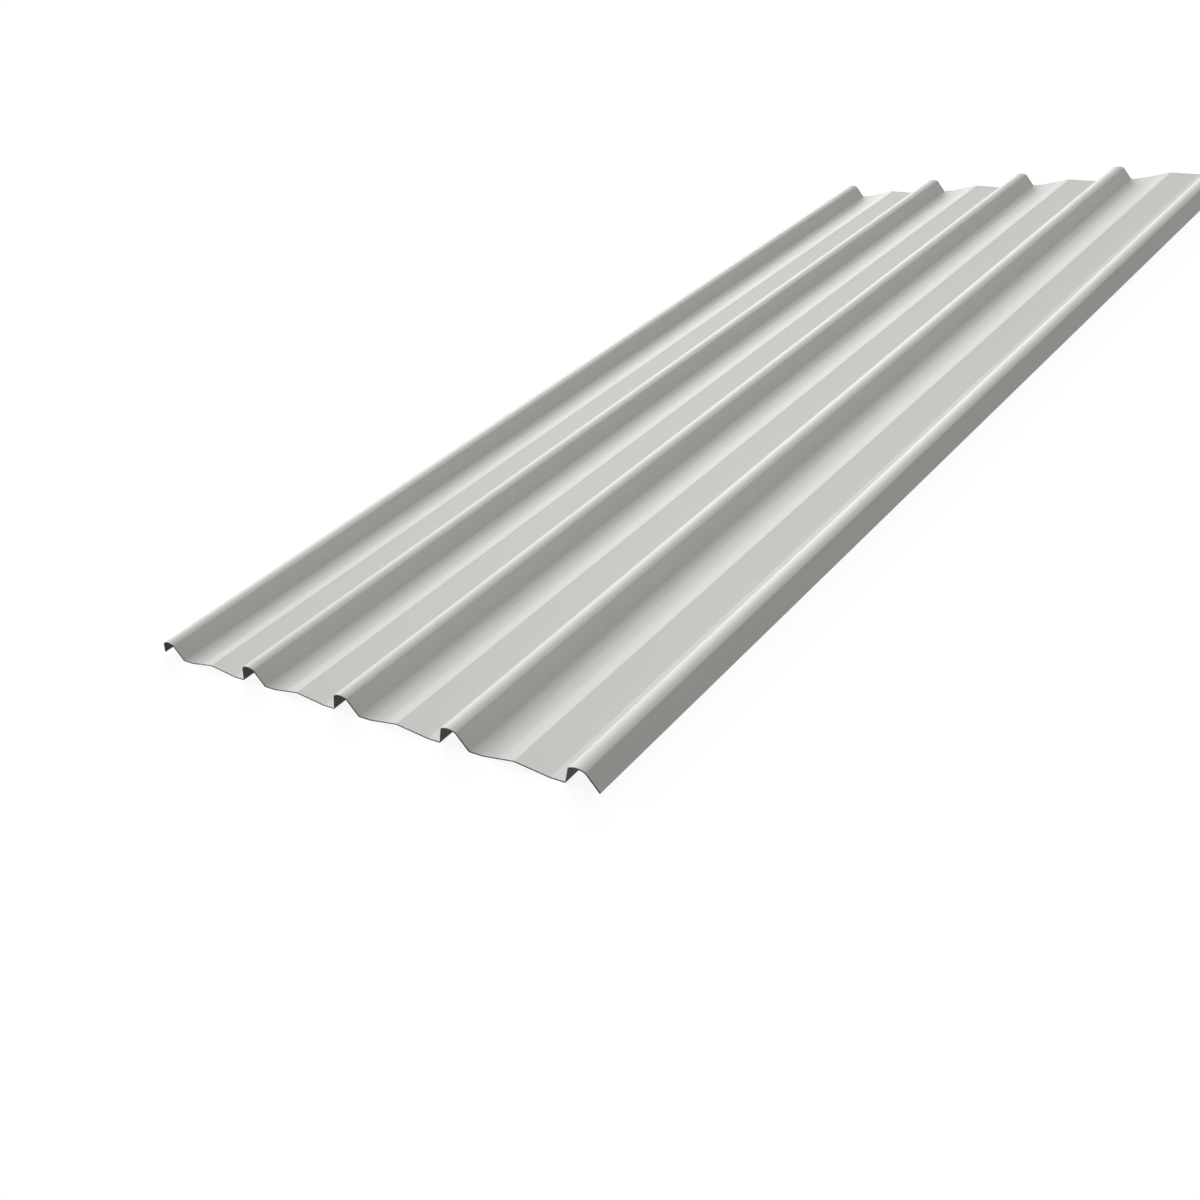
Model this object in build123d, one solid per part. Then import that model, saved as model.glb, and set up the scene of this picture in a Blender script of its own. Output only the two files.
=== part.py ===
from build123d import *

import os

# Ribbed roof and wall sheet, roll-formed from one strip of painted steel.
# It lies flat with its weather side up. X runs across the ribs, Y along them, Z up.
# The origin is under the middle of the sheet, level with the underside of its pans.
# All sizes are in millimetres, and those of the section are taken on the underside.

# Strip and cut length
sheet_length = 1800.0
sheet_thickness = 0.8

# Ribs: two sloping webs and a rounded crown
rib_count = 5
rib_pitch = 190.5
rib_base = 46.4
rib_rise = 24.6
crown_width = 22.4
crown_rise = 2.6

# Pans: a level strip beside each rib, and a shallow ridge along the middle
pan_flat = 21.6
ridge_rise = 6.8

# Side lap: the outer leg of the first rib stops above the pans, inside the last rib of the next sheet
underlap_stop = 6.2

# Inside radii that the rolls leave, tight on the ribs and soft on the pans
bend_radius = 2.0
crease_radius = 6.0

LEFT, RIGHT = -1, 1
SAME_POINT = 1e-4


def foot(rib, side):
    """Where a web meets its pan."""
    return Vector(rib * rib_pitch + side * rib_base / 2, 0)


def shoulder(rib, side):
    """Where a web meets the crown."""
    return Vector(rib * rib_pitch + side * crown_width / 2, rib_rise - crown_rise)


def crown_top(rib):
    """The highest point of a crown."""
    return Vector(rib * rib_pitch, rib_rise)


def crease(pan, side):
    """Where the level strip of a pan starts to climb to the ridge."""
    start = foot(pan, RIGHT) if side == LEFT else foot(pan + 1, LEFT)
    return start - Vector(side * pan_flat, 0)


def ridge(pan):
    """The highest point of a pan."""
    return (foot(pan, RIGHT) + foot(pan + 1, LEFT)) / 2 + Vector(0, ridge_rise)


def bend(line, corners, radius):
    """Rounds the given corners of the section line, all to one radius."""
    picked = [v for v in line.vertices() if any((Vector(v) - c).length < SAME_POINT for c in corners)]
    return fillet(picked, radius)


# Underside of the strip: the short leg, then every crown with the web on its right, then every pan
ribs = range(rib_count)
pans = range(rib_count - 1)
leg_cut = underlap_stop / shoulder(0, LEFT).Y
short_leg_end = foot(0, LEFT) + (shoulder(0, LEFT) - foot(0, LEFT)) * leg_cut

with BuildLine() as drawn:
    Line(short_leg_end, shoulder(0, LEFT))
    for rib in ribs:
        ThreePointArc(shoulder(rib, LEFT), crown_top(rib), shoulder(rib, RIGHT))
        Line(shoulder(rib, RIGHT), foot(rib, RIGHT))
    for pan in pans:
        pan_line = [foot(pan, RIGHT), crease(pan, LEFT), ridge(pan), crease(pan, RIGHT)]
        Polyline(*pan_line, foot(pan + 1, LEFT), shoulder(pan + 1, LEFT))

# The strip keeps its thickness in the bends. Where a bend opens upwards, its inside radius is on
# the weather side, so the underside is rounded to that radius and the thickness.
shoulders = [shoulder(rib, side) for rib in ribs for side in (LEFT, RIGHT)]
feet = [foot(pan, RIGHT) for pan in pans] + [foot(pan + 1, LEFT) for pan in pans]
ridges = [ridge(pan) for pan in pans]
creases = [crease(pan, side) for pan in pans for side in (LEFT, RIGHT)]

underside = bend(drawn.wire(), shoulders, bend_radius)
underside = bend(underside, feet, bend_radius + sheet_thickness)
underside = bend(underside, ridges, crease_radius)
underside = bend(underside, creases, crease_radius + sheet_thickness)

# Cross-section of the strip, centred over the origin and drawn out to the cut length
section = make_face(offset(underside, amount=sheet_thickness, side=Side.LEFT))
section = Plane.XZ * Pos(-section.bounding_box().center().X, 0) * section
ribbed_sheet = extrude(section, amount=sheet_length / 2, both=True)

os.makedirs("parts", exist_ok=True)
export_step(ribbed_sheet, "parts/ribbed_sheet.step")

box = ribbed_sheet.bounding_box()
print("size", round(box.size.X, 3), round(box.size.Y, 3), round(box.size.Z, 3))
print("lowest", round(box.min.Z, 4), "volume", round(ribbed_sheet.volume, 1))
print("width of the flat strip", round(section.area / sheet_thickness, 2))
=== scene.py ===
import math

import bpy
import numpy as np
from mathutils import Matrix, Vector


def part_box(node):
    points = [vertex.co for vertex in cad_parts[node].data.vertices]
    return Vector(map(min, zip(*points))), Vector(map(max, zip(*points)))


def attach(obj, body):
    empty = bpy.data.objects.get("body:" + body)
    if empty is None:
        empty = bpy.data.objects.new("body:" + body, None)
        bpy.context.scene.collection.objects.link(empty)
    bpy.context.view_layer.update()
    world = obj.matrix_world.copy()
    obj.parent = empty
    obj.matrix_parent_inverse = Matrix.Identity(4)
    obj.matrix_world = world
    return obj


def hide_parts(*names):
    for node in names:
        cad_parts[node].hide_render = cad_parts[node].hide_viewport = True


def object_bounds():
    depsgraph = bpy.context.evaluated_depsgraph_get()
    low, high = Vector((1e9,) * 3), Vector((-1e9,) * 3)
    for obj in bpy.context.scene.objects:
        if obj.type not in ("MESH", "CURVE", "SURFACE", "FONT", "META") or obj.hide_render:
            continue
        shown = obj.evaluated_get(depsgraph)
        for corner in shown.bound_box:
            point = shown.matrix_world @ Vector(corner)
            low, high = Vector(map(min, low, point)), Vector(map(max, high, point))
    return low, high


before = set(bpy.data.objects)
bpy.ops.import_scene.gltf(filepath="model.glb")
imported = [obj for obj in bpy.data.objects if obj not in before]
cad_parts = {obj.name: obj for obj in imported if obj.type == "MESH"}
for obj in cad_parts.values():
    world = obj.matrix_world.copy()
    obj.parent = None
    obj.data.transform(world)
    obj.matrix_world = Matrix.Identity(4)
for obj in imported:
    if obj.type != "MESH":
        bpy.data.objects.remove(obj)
cad_low, cad_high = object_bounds()

# Ribbed sheet
# The real piece is one strip of coated steel, under a millimetre thick, that rolls have formed
# into ribs and pans. Its ends are sheared square, and its long edges are the strip's own.
MM = 0.001
NODE = "ribbed_sheet"
STRIP_THICKNESS = 0.8 * MM
RIB_COUNT = 5
RIB_PITCH = 190.5 * MM
RIB_BASE = 46.4 * MM
RIB_RISE = 24.6 * MM
CROWN_WIDTH = 22.4 * MM
CROWN_RISE = 2.6 * MM
PAN_FLAT = 21.6 * MM
RIDGE_RISE = 6.8 * MM
UNDERLAP_STOP = 6.2 * MM
BEND_RADIUS = 2.0 * MM
CREASE_RADIUS = 6.0 * MM
STEPS_IN_A_BEND = 13
STATIONS = 61
SAME_PLACE = 0.001 * MM


def strip_corners():
    """Corners of the underside line from the short leg to the full web, and the radius at each.

    The web leans by the angle whose tangent is its rise over its run. The crown's radius follows
    from its width and rise. Each shoulder is an arc that touches the web and the crown from inside,
    so the crown turns through twice the lean, less the angle whose cosine is the ratio of the
    distances from the crown's centre to the shoulder's, square to the web and straight.
    """
    half_base, half_crown = RIB_BASE / 2, CROWN_WIDTH / 2
    web_lean = math.atan2(RIB_RISE - CROWN_RISE, half_base - half_crown)
    crown_radius = (half_crown ** 2 + CROWN_RISE ** 2) / (2 * CROWN_RISE)
    crown_centre = RIB_RISE - crown_radius
    to_web = half_base * math.sin(web_lean) - crown_centre * math.cos(web_lean)
    shoulder_turn = math.acos((to_web - BEND_RADIUS) / (crown_radius - BEND_RADIUS))
    crown_lean = web_lean - shoulder_turn
    along = crown_radius * math.sin(crown_lean), crown_centre + crown_radius * math.cos(crown_lean)
    tangent = BEND_RADIUS * math.tan(shoulder_turn / 2)
    shoulder = (along[0] + tangent * math.cos(crown_lean), along[1] - tangent * math.sin(crown_lean))
    apex = crown_centre + crown_radius / math.cos(crown_lean)

    rib = np.array([[-half_base, 0], [-shoulder[0], shoulder[1]], [0, apex], shoulder, [half_base, 0]])
    pan_start, pan_end = half_base + PAN_FLAT, RIB_PITCH - half_base - PAN_FLAT
    pan = np.array([[pan_start, 0], [RIB_PITCH / 2, RIDGE_RISE], [pan_end, 0]])
    bay = np.vstack([rib, pan])
    bay_radii = [BEND_RADIUS] * 2 + [crown_radius] + [BEND_RADIUS] * 2 + [CREASE_RADIUS] * len(pan)
    offsets = np.repeat(np.arange(RIB_COUNT) * RIB_PITCH, len(bay))
    corners = np.tile(bay, (RIB_COUNT, 1)) + np.stack([offsets, 0 * offsets], axis=1)
    radii = np.tile(bay_radii, RIB_COUNT)
    corners, radii = corners[:-len(pan)], radii[:-len(pan)]
    corners[0] += [UNDERLAP_STOP / math.tan(web_lean), UNDERLAP_STOP]
    return corners, radii


def strip_line(level):
    """Points of the section at a level above the underside, and the way that the strip heads at each.

    Each corner is an arc about a fixed centre. A bend that opens upwards has its inside radius on the
    weather side, so its arc at a level is the inside radius plus the thickness less the level. A bend
    that opens downwards has the inside radius plus the level. The two ends stand square to the strip.
    """
    corners, radii = strip_corners()
    run = np.diff(corners, axis=0)
    heading = np.arctan2(run[:, 1], run[:, 0])
    before, after = heading[:-1], heading[1:]
    turn = after - before
    side = np.sign(turn)
    under_radius = radii[1:-1] + np.where(side > 0, STRIP_THICKNESS, 0)
    half = (before + after) / 2
    out = under_radius / np.cos(turn / 2)
    centres = corners[1:-1] + (side * out)[:, None] * np.stack([-np.sin(half), np.cos(half)], axis=1)
    share = np.linspace(0, 1, STEPS_IN_A_BEND)
    angle = before[:, None] + turn[:, None] * share
    reach = (side * under_radius - level)[:, None]
    arcs = np.stack([centres[:, :1] + reach * np.sin(angle), centres[:, 1:] - reach * np.cos(angle)], axis=2)
    ends = [corners[i] + level * np.array([-math.sin(heading[i]), math.cos(heading[i])]) for i in (0, -1)]
    angles = np.concatenate([heading[:1], angle.ravel(), heading[-1:]])
    return np.vstack([ends[0], arcs.reshape(-1, 2), ends[1]]), angles


def sheet_mesh(name):
    """The strip as six grids: its two faces, its two sheared ends and its two long edges.

    A face's point is the section's point at the underside or the weather side, carried along Y to a
    station. Each grid has points of its own, whose normals are square to the true section, so a level
    run stays level beside a bend. A crown starts where its shoulder ends, and a point that repeats the
    one before it is left out. The UV map holds the distance across the flat strip and along it.
    """
    (under, angle), (over, _) = strip_line(0.0), strip_line(STRIP_THICKNESS)
    new_place = np.concatenate([[True], np.hypot(*np.diff(under, axis=0).T) > SAME_PLACE])
    under, over, angle = under[new_place], over[new_place], angle[new_place]
    low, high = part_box(NODE)
    middle = (min(under[0, 0], over[0, 0]) + max(under[-1, 0], over[-1, 0])) / 2
    stations = np.linspace(low.y, high.y, STATIONS)
    across = np.concatenate([[0], np.cumsum(np.hypot(*np.diff(under, axis=0).T))])
    upwards = np.stack([-np.sin(angle), 0 * angle, np.cos(angle)], axis=1)
    forwards = np.stack([np.cos(angle), 0 * angle, np.sin(angle)], axis=1)
    along = np.array([0.0, 1.0, 0.0])

    def lattice(line, places, strip_across):
        """Points and UVs where each point of a line across the sheet meets each place along it."""
        points = np.empty((len(line), len(places), 3))
        points[..., 0] = line[:, None, 0] - middle
        points[..., 1] = places
        points[..., 2] = line[:, None, 1]
        uv = np.stack(np.broadcast_arrays(strip_across[:, None], places), axis=-1)
        return points, uv

    def side_by_side(first, second, axis):
        """One grid from two single lines of points."""
        return [np.concatenate(halves, axis=axis) for halves in zip(first, second)]

    far, near = stations[-1:], stations[:1]
    weather = lattice(over, stations, across)
    backing = lattice(under[::-1], stations, across[::-1])
    near_end = side_by_side(lattice(under, near, across), lattice(over, near, across), 1)
    far_end = side_by_side(lattice(over, far, across), lattice(under, far, across), 1)
    left_edge = side_by_side(
        lattice(under[:1], stations, across[:1]), lattice(over[:1], stations, across[:1]), 0)
    right_edge = side_by_side(
        lattice(over[-1:], stations, across[-1:]), lattice(under[-1:], stations, across[-1:]), 0)
    painted, backed, sheared = range(3)
    grids = [(weather, upwards[:, None], painted), (backing, -upwards[::-1, None], backed),
             (near_end, -along, sheared), (far_end, along, sheared),
             (left_edge, -forwards[0], sheared), (right_edge, forwards[-1], sheared)]

    mesh = bpy.data.meshes.new(name)
    points, uvs, normals, faces, coats, first = [], [], [], [], [], 0
    for (places, flat), normal, coat in grids:
        index = first + np.arange(places[..., 0].size).reshape(places.shape[:2])
        corner_grids = (index[:-1, :-1], index[1:, :-1], index[1:, 1:], index[:-1, 1:])
        faces.append(np.stack([grid.ravel() for grid in corner_grids], axis=1))
        points.append(places.reshape(-1, 3))
        uvs.append(flat.reshape(-1, 2))
        normals.append(np.broadcast_to(normal, places.shape).reshape(-1, 3))
        coats.append(np.full(len(faces[-1]), coat))
        first += index.size
    faces = np.vstack(faces)
    mesh.from_pydata(np.vstack(points), [], faces)
    mesh.polygons.foreach_set("material_index", np.concatenate(coats))
    mesh.polygons.foreach_set("use_smooth", np.ones(len(faces), bool))
    uv = mesh.uv_layers.new(name="strip")
    uv.data.foreach_set("uv", np.vstack(uvs)[faces.ravel()].ravel())
    mesh.normals_split_custom_set_from_vertices(np.vstack(normals))
    mesh.update()
    return mesh


class Value:
    """One number of a material as it varies over the surface.

    Sums, differences and products on it add Math nodes, and a | b is the greater of two.
    """

    def __init__(self, tree, socket):
        self.tree, self.socket = tree, socket

    def _math(self, operation, *terms):
        made = self.tree.nodes.new("ShaderNodeMath")
        made.operation = operation
        for slot, term in zip(made.inputs, terms):
            put(self.tree, slot, term)
        return Value(self.tree, made.outputs[0])

    def __add__(self, other):
        return self._math("ADD", self, other)

    def __radd__(self, other):
        return self._math("ADD", other, self)

    def __sub__(self, other):
        return self._math("SUBTRACT", self, other)

    def __rsub__(self, other):
        return self._math("SUBTRACT", other, self)

    def __mul__(self, other):
        return self._math("MULTIPLY", self, other)

    def __rmul__(self, other):
        return self._math("MULTIPLY", other, self)

    def __or__(self, other):
        return self._math("MAXIMUM", self, other)

    def __ror__(self, other):
        return self._math("MAXIMUM", other, self)

    def __abs__(self):
        return self._math("ABSOLUTE", self)


def put(tree, slot, term):
    """Sets a socket to a constant, or links a value to it."""
    if isinstance(term, Value):
        tree.links.new(term.socket, slot)
    else:
        slot.default_value = term


class Finish:
    """The shader nodes of a material or a world."""

    def __init__(self, owner):
        owner.use_nodes = True
        self.owner, self.tree = owner, owner.node_tree
        self.tree.nodes.clear()

    def node(self, kind, settings=None, sockets=None, out=0):
        """Adds a node: its settings first, then its sockets' values or links; gives one output."""
        made = self.tree.nodes.new("ShaderNode" + kind)
        for key, value in (settings or {}).items():
            setattr(made, key, value)
        for key, value in (sockets or {}).items():
            put(self.tree, made.inputs[key], value)
        return Value(self.tree, made.outputs[out])

    def ends_in(self, shader, output="OutputMaterial"):
        """Ends the tree in this shader, and gives back the material or world."""
        end = self.tree.nodes.new("ShaderNode" + output)
        put(self.tree, end.inputs["Surface"], shader)
        return self.owner


SHADE = (120 * MM, 900 * MM, 3.0)
PEEL = (2.5 * MM, 2.5 * MM, 1.0)
PEEL_DEPTH = 0.004 * MM
ROLL_MARK = (1.6 * MM, 800 * MM, 2.0)
ROLL_MARK_DEPTH = 0.003 * MM
# The next three set a dark band of the bare steel shader along the cut ends: the noise that varies its
# width, the width over which it blends in, and its narrowest and widest width.
END_BAND_NOISE = (1.3 * MM, 1.3 * MM, 2.0)
END_BAND_BLEND = 0.1 * MM
DARK_END_BAND = (0.4 * MM, 1.6 * MM)
HANDLING = (0.4 * MM, 0.4 * MM, 2.0)
STEEL_GREYS = ((0.015, 0.015, 0.015), (0.050, 0.050, 0.048))
STEEL_ROUGHNESS = 0.5
SMUDGE_ROUGHNESS = 0.2
STEEL_SHINE = 0.2
WEATHER_GREYS = ((0.551, 0.563, 0.530), (0.567, 0.579, 0.545))
WEATHER_ROUGHNESS = 0.66
WEATHER_SHADE_ROUGHNESS = 0.06
ROLL_MARK_ROUGHNESS = 0.04
# Partly painted shade: the backing greys are darker than the coat itself, so that the insides of the ribs
# look shaded.
BACKING_GREYS_WITH_PAINTED_SHADE = ((0.115, 0.12, 0.115), (0.135, 0.14, 0.135))
BACKING_ROUGHNESS = 0.55
BACKING_SHADE_ROUGHNESS = 0.1
BACKING_SHINE = 0.15
PAINT_IOR = 1.5


def strip_noise(finish, blotch):
    """Noise from nought to one on the flat strip. A blotch gives its width, its length and its detail."""
    wide, long, detail = blotch
    place = finish.node("UVMap", {"uv_map": "strip"})
    place = finish.node("VectorMath", {"operation": "MULTIPLY"}, {0: place, 1: (1 / wide, 1 / long, 0)})
    return finish.node(
        "TexNoise", {"noise_dimensions": "2D"}, {"Vector": place, "Scale": 1.0, "Detail": detail})


def between(finish, share, colours):
    """The first colour where the share is nought, the second where it is one."""
    first, second = colours
    return finish.node(
        "Mix", {"data_type": "RGBA"}, {"Factor": share, 6: (*first, 1), 7: (*second, 1)}, out=2)


def relief(finish, depth):
    """Normals of a surface that stands out by this depth in metres."""
    return finish.node("Bump", sockets={"Strength": 1.0, "Distance": 1.0, "Height": depth})


def bare_steel(finish):
    """Cut steel, dull and darkened by handling."""
    smudges = strip_noise(finish, HANDLING)
    return finish.node("BsdfPrincipled", sockets={
        "Base Color": between(finish, smudges, STEEL_GREYS),
        "Roughness": STEEL_ROUGHNESS + SMUDGE_ROUGHNESS * smudges,
        "Specular IOR Level": STEEL_SHINE})


def with_dark_end_band(finish, paint):
    """The paint, with a dark band of the bare steel shader along the cut ends.

    The band shows where the distance from the nearer end is less than its width, which noise
    varies from the narrow one to the wide one. It blends in over a narrow edge on each side of that.
    """
    narrow, wide = DARK_END_BAND
    place = finish.node("UVMap", {"uv_map": "strip"})
    along = finish.node("SeparateXYZ", sockets={"Vector": place}, out=1)
    inset = (cad_high - cad_low).y / 2 - abs(along)
    width = narrow + (wide - narrow) * strip_noise(finish, END_BAND_NOISE)
    dark_band = finish.node(
        "MapRange", sockets={"Value": width - inset, "From Min": -END_BAND_BLEND, "From Max": END_BAND_BLEND})
    steel = bare_steel(finish)
    return finish.ends_in(finish.node("MixShader", sockets={0: dark_band, 1: paint, 2: steel}))


def weather_coat():
    """Satin light grey coil paint, baked on before the strip is formed."""
    finish = Finish(bpy.data.materials.new("weather_coat"))
    shade = strip_noise(finish, SHADE)
    marks = strip_noise(finish, ROLL_MARK)
    depth = strip_noise(finish, PEEL) * PEEL_DEPTH + marks * ROLL_MARK_DEPTH
    paint = finish.node("BsdfPrincipled", sockets={
        "Base Color": between(finish, shade, WEATHER_GREYS), "IOR": PAINT_IOR,
        "Roughness": WEATHER_ROUGHNESS + WEATHER_SHADE_ROUGHNESS * shade + ROLL_MARK_ROUGHNESS * marks,
        "Normal": relief(finish, depth)})
    return with_dark_end_band(finish, paint)


def backing_coat_with_painted_shade():
    """Thin matt grey coat on the side that faces the purlins, its grey darkened as painted shade for the
    insides of the ribs.
    """
    finish = Finish(bpy.data.materials.new("backing_coat_with_painted_shade"))
    shade = strip_noise(finish, SHADE)
    depth = strip_noise(finish, PEEL) * PEEL_DEPTH
    paint = finish.node("BsdfPrincipled", sockets={
        "Base Color": between(finish, shade, BACKING_GREYS_WITH_PAINTED_SHADE), "IOR": PAINT_IOR,
        "Roughness": BACKING_ROUGHNESS + BACKING_SHADE_ROUGHNESS * shade,
        "Specular IOR Level": BACKING_SHINE, "Normal": relief(finish, depth)})
    return with_dark_end_band(finish, paint)


def sheared_edge():
    """The cut itself, along the strip's two edges and across its two ends."""
    finish = Finish(bpy.data.materials.new("sheared_edge"))
    return finish.ends_in(bare_steel(finish))


mesh = sheet_mesh("sheet")
for coat in (weather_coat(), backing_coat_with_painted_shade(), sheared_edge()):
    mesh.materials.append(coat)
sheet = bpy.data.objects.new("sheet", mesh)
bpy.context.scene.collection.objects.link(sheet)
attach(sheet, "root")
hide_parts(NODE)

# Studio floor
# A wide white floor just under the pans. It looks white from above, keeps a faint shadow of the
# sheet, and is clear from beneath so that the underside can be seen.
FLOOR_SIZE = 200.0
FLOOR_DROP = 0.05 * MM
FLOOR_GLOW = 0.9
FLOOR_BOUNCE = 0.18
GLOW_STRENGTH = 1.01
WHITE = (1, 1, 1, 1)


def seen_rays(finish):
    """One for the camera's rays and for those that it sees mirrored or through glass, nought for others."""
    camera_ray = finish.node("LightPath", out="Is Camera Ray")
    glossy_ray = finish.node("LightPath", out="Is Glossy Ray")
    transmission_ray = finish.node("LightPath", out="Is Transmission Ray")
    return camera_ray | glossy_ray | transmission_ray


def floor_finish():
    """White with a faint shadow to the eye, and a dim even glow in place of the light that it returns."""
    finish = Finish(bpy.data.materials.new("floor_white"))
    seen = seen_rays(finish)
    matt = finish.node("BsdfDiffuse", sockets={"Color": seen})
    glow = finish.node("Emission", sockets={"Color": WHITE, "Strength": GLOW_STRENGTH})
    share = seen * (FLOOR_GLOW - FLOOR_BOUNCE) + FLOOR_BOUNCE
    top = finish.node("MixShader", sockets={0: share, 1: matt, 2: glow})
    beneath = finish.node("NewGeometry", out="Backfacing")
    clear = finish.node("BsdfTransparent")
    return finish.ends_in(finish.node("MixShader", sockets={0: beneath, 1: top, 2: clear}))


half = FLOOR_SIZE / 2
floor_mesh = bpy.data.meshes.new("floor")
floor_corners = [(-half, -half, -FLOOR_DROP), (half, -half, -FLOOR_DROP),
                 (half, half, -FLOOR_DROP), (-half, half, -FLOOR_DROP)]
floor_mesh.from_pydata(floor_corners, [], [(0, 1, 2, 3)])
floor_mesh.materials.append(floor_finish())
floor = bpy.data.objects.new("floor", floor_mesh)
bpy.context.scene.collection.objects.link(floor)

# Studio light
# A low key lamp shines across the ribs from the short-leg side. Softer lamps stand one above the
# other beside it, towards the far end, and the surround is even and pale.
# Each lamp has a name, its azimuth from +X, its elevation and its spread in degrees, and its strength.
LAMPS = (("low_key", 180, 17, 5, 1.13), ("far_low", 135, 15, 30, 1.68),
         ("far_middle", 135, 28, 20, 0.53), ("far_high", 135, 44, 20, 0.58))
SURROUND = 0.505

for name, azimuth, elevation, spread, strength in LAMPS:
    light = bpy.data.lights.new(name, "SUN")
    light.energy = strength
    light.angle = math.radians(spread)
    lamp = bpy.data.objects.new(name, light)
    az, el = math.radians(azimuth), math.radians(elevation)
    towards = Vector((math.cos(el) * math.cos(az), math.cos(el) * math.sin(az), math.sin(el)))
    lamp.rotation_euler = towards.to_track_quat("Z", "Y").to_euler()
    bpy.context.scene.collection.objects.link(lamp)

world = bpy.data.worlds.new("surround")
bpy.context.scene.world = world
around = Finish(world)
lit = around.node("Background", sockets={"Color": WHITE, "Strength": SURROUND})
white = around.node("Background", sockets={"Color": WHITE, "Strength": 1.0})
either = around.node("MixShader", sockets={0: seen_rays(around), 1: lit, 2: white})
around.ends_in(either, "OutputWorld")

# Camera
# It stands in front of the full-web side, looks down along the ribs and is rolled to the right.
CAMERA_PLACE = Vector((1.24946, -1.57020, 0.78310))
CAMERA_RIGHT = Vector((0.73666, 0.62289, -0.26334))
CAMERA_DOWN = Vector((0.14070, -0.52206, -0.84123))
CAMERA_LENS = 40.533
SENSOR = 36.0
CLIP_START, CLIP_END = 0.01, 500.0

eye_data = bpy.data.cameras.new("camera")
eye_data.lens = CAMERA_LENS
eye_data.sensor_width = SENSOR
eye_data.clip_start = CLIP_START
eye_data.clip_end = CLIP_END
camera = bpy.data.objects.new("camera", eye_data)
up = -CAMERA_DOWN.normalized()
right = (CAMERA_RIGHT - CAMERA_RIGHT.dot(up) * up).normalized()
turned = Matrix((right, up, right.cross(up))).transposed().to_4x4()
camera.matrix_world = Matrix.Translation(CAMERA_PLACE) @ turned
bpy.context.scene.collection.objects.link(camera)
bpy.context.scene.camera = camera

bpy.context.scene.view_settings.view_transform = "Standard"
